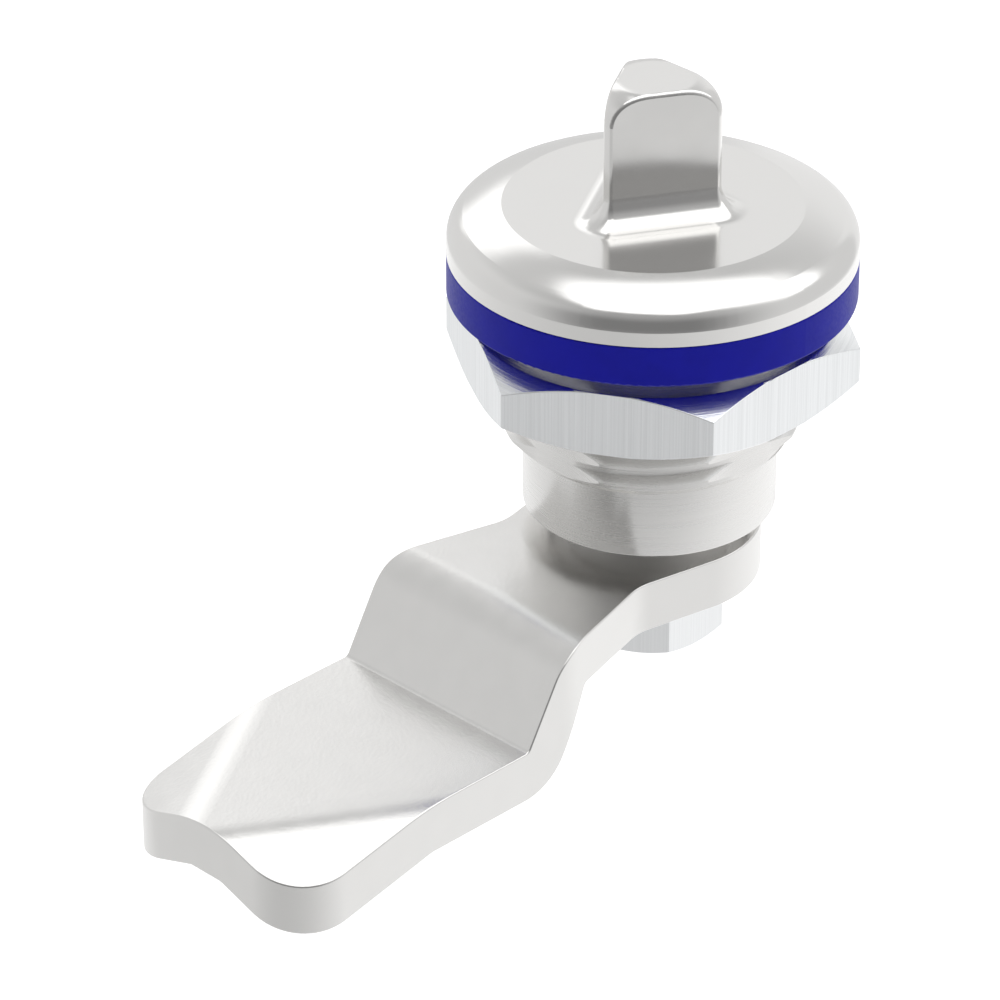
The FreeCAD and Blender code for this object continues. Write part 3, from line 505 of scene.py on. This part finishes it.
def soften_edges(thing, width):
    """Join the solid's faces and round its sharp edges a little."""
    join = thing.modifiers.new("join", "NODES")
    join.node_group = JOIN
    flat = thing.modifiers.new("flat_faces", "DECIMATE")
    flat.decimate_type = "DISSOLVE"
    flat.angle_limit = FLAT_ANGLE
    bevel = thing.modifiers.new("edges", "BEVEL")
    bevel.width = width * MM
    bevel.segments = EDGE_SEGMENTS
    bevel.limit_method = "ANGLE"
    bevel.angle_limit = SHARP_ANGLE
    bevel.use_clamp_overlap = False
    bevel.loop_slide = False
    bevel.harden_normals = True


def mesh_object(name, points, faces):
    """Object from points in millimetres."""
    mesh = bpy.data.meshes.new(name)
    mesh.from_pydata([tuple(number * MM for number in point) for point in points], [], faces)
    mesh.validate()
    mesh.update()
    return link(bpy.data.objects.new(name, mesh))


def turned_points(section, angle, lift=0.0):
    """Points of a section, given as radius and height pairs, at an angle round the axis."""
    return [(radius * math.cos(angle), radius * math.sin(angle), lift + level) for radius, level in section]


def swept(name, sections, ring=False):
    """Solid through a row of sections, each a loop of points: a closed ring, or a bar with two ends."""
    points = [point for section in sections for point in section]
    count = len(sections[0])
    faces = []
    for step in range(len(sections) if ring else len(sections) - 1):
        base = step * count
        following = (step + 1) % len(sections) * count
        for corner in range(count):
            after = (corner + 1) % count
            faces.append((base + corner, base + after, following + after, following + corner))
    if not ring:
        faces.append(tuple(reversed(range(count))))
        faces.append(tuple(range(len(points) - count, len(points))))
    return mesh_object(name, points, faces)


def cut(body, cutter):
    """Cut one object from another, and drop the cutter."""
    modifier = body.modifiers.new("cut", "BOOLEAN")
    modifier.operation = "DIFFERENCE"
    modifier.solver = "EXACT"
    modifier.object = cutter
    bpy.context.view_layer.update()
    mesh = bpy.data.meshes.new_from_object(body.evaluated_get(bpy.context.evaluated_depsgraph_get()))
    body.modifiers.clear()
    body.data = mesh
    bpy.data.objects.remove(cutter)


def thread_cutter():
    """Groove of a right-hand thread, which starts shallow under the flange and runs out at the end."""
    flank = math.tan(THREAD_FLANK_ANGLE)
    outer = THREAD_RADIUS + THREAD_SPARE
    gap_half = (THREAD_PITCH - THREAD_CREST) / 2
    # Heights of the groove's middle: at the solid's last ring groove, and at the start of the helix
    last = THREAD_END + THREAD_CREST + gap_half
    first = -THREAD_NECK - gap_half
    first_angle = FRONT_ANGLE + (first - last) / THREAD_PITCH * 2 * math.pi
    last_angle = FRONT_ANGLE + (BARREL_END - last) / THREAD_PITCH * 2 * math.pi
    count = round((first_angle - last_angle) / (2 * math.pi) * THREAD_STEPS)
    sections = []
    for step in range(count + 1):
        angle = first_angle + (last_angle - first_angle) * step / count
        level = last + (angle - FRONT_ANGLE) / (2 * math.pi) * THREAD_PITCH
        depth = THREAD_DEPTH * min((first_angle - angle) / THREAD_LEAD_IN, 1.0) - START_RELIEF
        root = THREAD_RADIUS - depth
        inner_half = gap_half - depth * flank
        outer_half = gap_half + THREAD_SPARE * flank
        section = ((root, -inner_half), (outer, -outer_half), (outer, outer_half), (root, inner_half))
        sections.append(turned_points(section, angle, level))
    return swept("thread_cutter", sections)


def flats_cutter():
    """Square frame that leaves the barrel's four flats."""
    inner = BARREL_HALF * math.sqrt(2)
    outer = (FLANGE_RADIUS + FLATS_SPARE) * math.sqrt(2)
    section = ((inner, 0.0), (outer, 0.0), (outer, BARREL_END), (inner, BARREL_END))
    sections = [turned_points(section, math.radians(90 * side + 45)) for side in range(4)]
    return swept("flats_cutter", sections, ring=True)


def recess_cutter():
    """Ring sector in which the stop disc's tab turns."""
    inner = BUSH_RADIUS - RECESS_SPARE
    below = HOUSING_END - RECESS_SPARE_BELOW
    section = ((inner, below), (RECESS_RADIUS, below), (RECESS_RADIUS, RECESS_TOP), (inner, RECESS_TOP))
    sections = []
    for step in range(RECESS_STEPS + 1):
        angle = RECESS_TO + (RECESS_FROM - RECESS_TO) * step / RECESS_STEPS
        sections.append(turned_points(section, angle))
    return swept("recess_cutter", sections)


def make_housing(look):
    """Threaded housing with a real helix."""
    edge = []
    for step in range(NOSE_EDGE_STEPS + 1):
        angle = -math.pi / 2 * step / NOSE_EDGE_STEPS
        edge.append((NOSE_RADIUS - NOSE_EDGE_RADIUS + NOSE_EDGE_RADIUS * math.cos(angle),
                     HOUSING_END + NOSE_EDGE_RADIUS + NOSE_EDGE_RADIUS * math.sin(angle)))
    outline = [(BUSH_RADIUS, FLANGE_TOP), (FLANGE_RADIUS, FLANGE_TOP), (FLANGE_RADIUS, FLANGE_UNDER),
               (THREAD_RADIUS, FLANGE_UNDER), (THREAD_RADIUS, THREAD_END), (NOSE_RADIUS, BARREL_END), *edge,
               (BUSH_RADIUS, HOUSING_END), (BUSH_RADIUS, LAND_END), (LAND_RADIUS, LAND_END),
               (LAND_RADIUS, LAND_START), (BUSH_RADIUS, LAND_START)]
    sections = [turned_points(outline, 2 * math.pi * step / BODY_STEPS) for step in range(BODY_STEPS)]
    body = swept("housing_detailed", sections, ring=True)
    cut(body, flats_cutter())
    cut(body, thread_cutter())
    cut(body, recess_cutter())
    body.data.materials.clear()
    body.data.materials.append(look)
    shade(body)
    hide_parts("housing")
    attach(body, "housing")


make_camera()
make_world()
make_floor()

# Colours as linear red, green and blue
WARM_STEEL = (0.80, 0.793, 0.780)
# Stop disc's steel is paler than the other steels: painted light, which lightens the shaded gap under the
# housing where the arm reflects it
STOP_STEEL_PAINTED_LIGHT = (0.95, 0.94, 0.925)
ARM_STEEL = (0.775, 0.768, 0.755)
NUT_STEEL = (0.905, 0.92, 0.93)
SCREW_STEEL = (0.92, 0.932, 0.94)
SPRING_STEEL = (0.42, 0.42, 0.44)
SEAL_BLUE = (0.004, 0.005, 0.34)
BUSH_CREAM = (0.80, 0.79, 0.74)
RING_BLACK = (0.02, 0.02, 0.022)

LOOKS = {
    "drive_spindle": polished("polished_steel", WARM_STEEL, roughness=0.16),
    "panel_seal": moulded("blue_seal", SEAL_BLUE, roughness=0.42, specular=0.15, depth=0.0005),
    "housing": turned("turned_steel", WARM_STEEL, roughness=0.26, contrast=0.014, depth=0.0008),
    "front_bush": moulded("bush_plastic", BUSH_CREAM, roughness=0.45, specular=0.5),
    "front_seal_ring": moulded("ring_rubber", RING_BLACK, roughness=0.55, specular=0.4),
    "thrust_washer": turned("washer_steel", WARM_STEEL, roughness=0.3, contrast=0.02, depth=0.002),
    "disc_spring": blasted("spring_steel", SPRING_STEEL, roughness=0.35, depth=0.003),
    "stop_disc": turned("stop_steel", STOP_STEEL_PAINTED_LIGHT, roughness=0.6, contrast=0.02, depth=0.002),
    "hex_nut": brushed("nut_steel", NUT_STEEL, roughness=0.34, contrast=0.05, depth=0.0007),
    "latch_arm": blasted("arm_steel", ARM_STEEL, roughness=0.26, depth=0.009),
    "arm_screw": brushed("screw_steel", SCREW_STEEL, roughness=0.34, contrast=0.03, depth=0.0007),
}
SAME_LOOK = {"rear_bush": "front_bush", "rear_seal_ring": "front_seal_ring", "snap_ring": "disc_spring",
             "lock_washer": "thrust_washer"}
# Width of the small round on the sharp edges, in millimetres, for the pieces that get one
EDGE_WIDTHS = {"front_bush": 0.08, "rear_bush": 0.08, "disc_spring": 0.05, "snap_ring": 0.05,
               "hex_nut": 0.06, "latch_arm": 0.12}

for name, node in nodes.items():
    node.data.materials.clear()
    node.data.materials.append(LOOKS[SAME_LOOK.get(name, name)])
    if name in EDGE_WIDTHS:
        soften_edges(node, EDGE_WIDTHS[name])

make_housing(LOOKS["housing"])

bpy.context.scene.view_settings.view_transform = "Standard"
